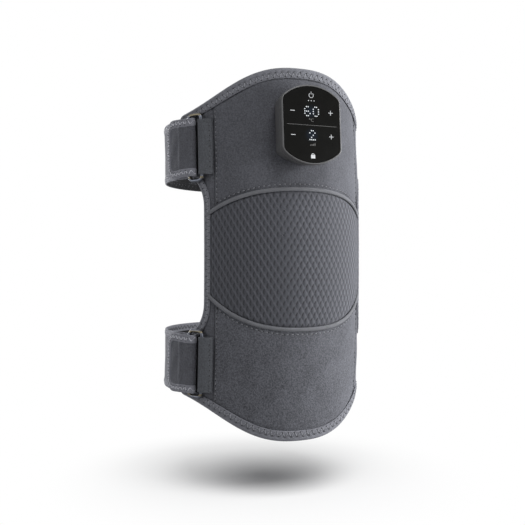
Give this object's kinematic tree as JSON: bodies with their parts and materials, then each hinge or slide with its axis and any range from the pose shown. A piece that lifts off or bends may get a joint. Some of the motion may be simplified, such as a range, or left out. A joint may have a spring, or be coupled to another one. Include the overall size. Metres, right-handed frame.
{
  "type": "knee massager",
  "caption": "Heated vibrating knee wrap: padded cloth shell with a touch control pod, held round the leg by two ring-and-flap straps.",
  "frame": {"origin": "middle of the leg opening at half the wrap's height", "axes": "+Z along the leg upwards with the control pod at the top, front of the wrap faces -Y, rings and flaps on the -X side"},
  "size_m": [0.1799, 0.1916, 0.3024],
  "materials": {
    "fabric": "brushed",
    "knit": "embossed knit",
    "binding": "tape",
    "webbing": "brushed",
    "lining": "plain",
    "foam": "foam",
    "hook": "hook tape",
    "film": "polyimide",
    "case_shell": "fine matt",
    "glass": "satin black",
    "gunmetal": "gunmetal plated",
    "steel": "plain",
    "board": "solder mask",
    "black": "moulded"
  },
  "bodies": {
    "wrap": {"inner_lining": "lining", "heating_film": "film", "foam_core": "foam", "thermal_cutout": "black", "upper_front_panel": "fabric", "lower_front_panel": "fabric", "knee_panel": "knit", "upper_left_wing": "fabric", "upper_right_wing": "fabric", "lower_left_wing": "fabric", "lower_right_wing": "fabric", "edge_binding": "binding", "upper_piping": "binding", "lower_piping": "binding", "upper_ring_tab": "fabric", "upper_strap": "webbing", "upper_strap_bottom_edge": "binding", "upper_strap_top_edge": "binding", "lower_ring_tab": "fabric", "lower_strap": "webbing", "lower_strap_bottom_edge": "binding", "lower_strap_top_edge": "binding", "pod_rear_case": "case_shell", "pod_front_case": "case_shell", "touch_glass": "glass", "main_board": "board", "temperature_display": "black", "speed_display": "black", "buzzer": "black", "battery": "steel", "pod_lead": "black", "usb_c_socket": "steel", "clamp_plate": "steel", "clamp_screw_1": "steel", "clamp_screw_2": "steel", "clamp_screw_3": "steel", "clamp_screw_4": "steel", "motor_can_left": "steel", "motor_plate_left": "steel", "motor_can_right": "steel", "motor_plate_right": "steel", "motor_can_lower": "steel", "motor_plate_lower": "steel"},
    "upper_ring_body": {"upper_ring": "gunmetal", "upper_strap_fold": "webbing"},
    "upper_flap_body": {"upper_flap": "webbing", "upper_flap_edge": "binding", "upper_hook_patch": "hook"},
    "lower_ring_body": {"lower_ring": "gunmetal", "lower_strap_fold": "webbing"},
    "lower_flap_body": {"lower_flap": "webbing", "lower_flap_edge": "binding", "lower_hook_patch": "hook"},
    "motor_rotor_left": {"motor_weight_left": "gunmetal"},
    "motor_rotor_right": {"motor_weight_right": "gunmetal"},
    "motor_rotor_lower": {"motor_weight_lower": "gunmetal"}
  },
  "joints": [
    {"name": "upper_ring_lift", "type": "hinge", "parent": "wrap", "child": "upper_ring_body", "pos_m": [-0.07328, -0.0435, 0.0878], "axis": [0.0242, 0.011, 0.9996], "range_deg": [0, 15]},
    {"name": "upper_flap_peel", "type": "hinge", "parent": "upper_ring_body", "child": "upper_flap_body", "pos_m": [-0.08296, -0.03578, 0.0878], "axis": [0.0242, 0.011, 0.9996], "range_deg": [0, 120]},
    {"name": "lower_ring_lift", "type": "hinge", "parent": "wrap", "child": "lower_ring_body", "pos_m": [-0.07328, -0.04338, -0.0895], "axis": [-0.0247, -0.0112, 0.9996], "range_deg": [0, 15]},
    {"name": "lower_flap_peel", "type": "hinge", "parent": "lower_ring_body", "child": "lower_flap_body", "pos_m": [-0.08296, -0.03567, -0.0895], "axis": [-0.0247, -0.0112, 0.9996], "range_deg": [0, 120]},
    {"name": "motor_spin_left", "type": "hinge", "parent": "wrap", "child": "motor_rotor_left", "pos_m": [-0.04544, -0.06253, -0.004], "axis": [-0.5878, -0.809, -0.0024], "continuous": true},
    {"name": "motor_spin_right", "type": "hinge", "parent": "wrap", "child": "motor_rotor_right", "pos_m": [0.04544, -0.06253, -0.004], "axis": [0.5878, -0.809, -0.0024], "continuous": true},
    {"name": "motor_spin_lower", "type": "hinge", "parent": "wrap", "child": "motor_rotor_lower", "pos_m": [0, -0.07471, -0.084], "axis": [0, -0.9981, -0.0616], "continuous": true}
  ]
}
